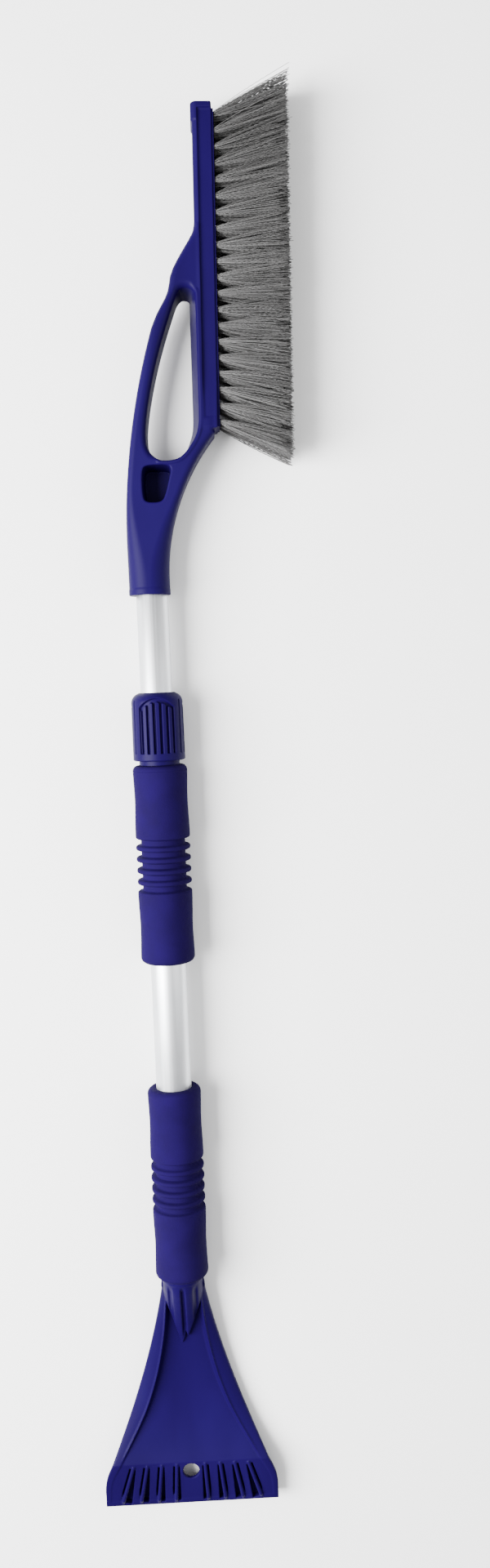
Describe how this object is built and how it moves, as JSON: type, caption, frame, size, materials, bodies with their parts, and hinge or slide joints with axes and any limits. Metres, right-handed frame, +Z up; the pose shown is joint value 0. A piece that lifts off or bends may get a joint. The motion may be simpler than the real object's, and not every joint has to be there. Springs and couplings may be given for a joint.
{
  "type": "snow brush with ice scraper",
  "caption": "Telescopic snow brush: a looped brush head on an inner tube, a twist lock, foam grips on an outer tube, and a flared ice scraper with a hanging hole.",
  "frame": {"origin": "middle of the bounding box on the floor the tool lies on", "axes": "+Y along the handle towards the brush head, +Z up from the floor, +X the way the bristles point"},
  "size_m": [0.1675, 0.9975, 0.038],
  "materials": {
    "tube_aluminium": "satin drawn aluminium, clear anodised",
    "grip_foam": "matte closed-cell EVA foam, dark royal blue",
    "blue_moulding": "semi-gloss moulded polypropylene, deep royal blue",
    "white_acetal": "natural acetal",
    "steel": "zinc plated steel",
    "bristle": "crimped grey polypropylene filament"
  },
  "bodies": {
    "handle": {"outer_tube": "tube_aluminium", "upper_grip": "grip_foam", "lower_grip": "grip_foam", "scraper": "blue_moulding", "scraper_pin": "steel", "lock_body": "blue_moulding", "lock_pins": "steel"},
    "clamp": {"clamp_ring": "white_acetal"},
    "collar": {"lock_collar": "blue_moulding"},
    "guide": {"guide_bush": "white_acetal"},
    "head": {"inner_tube": "tube_aluminium", "tube_plug": "blue_moulding", "brush_head": "blue_moulding", "head_screw": "steel", "tuft_strip": "blue_moulding", "tuft_anchors": "steel", "bristle_row_1": "bristle", "bristle_row_2": "bristle", "bristle_row_3": "bristle", "bristle_row_4": "bristle"}
  },
  "joints": [
    {"name": "telescope", "type": "slide", "parent": "handle", "child": "guide", "axis": [0, 1, 0], "range_m": [-0.064, 0.18]},
    {"name": "head_turn", "type": "hinge", "parent": "guide", "child": "head", "pos_m": [-0.02005, 0, 0.019], "axis": [0, -1, 0], "continuous": true},
    {"name": "clamp_travel", "type": "slide", "parent": "handle", "child": "clamp", "axis": [0, 1, 0], "range_m": [0, 0.001]},
    {"name": "collar_twist", "type": "hinge", "parent": "clamp", "child": "collar", "pos_m": [-0.02005, 0, 0.019], "axis": [0, 1, 0], "range_deg": [0, 120]}
  ],
  "couplings": [
    {"joint": "clamp_travel", "follows": "collar_twist", "m_per_rad": 0.00047}
  ]
}
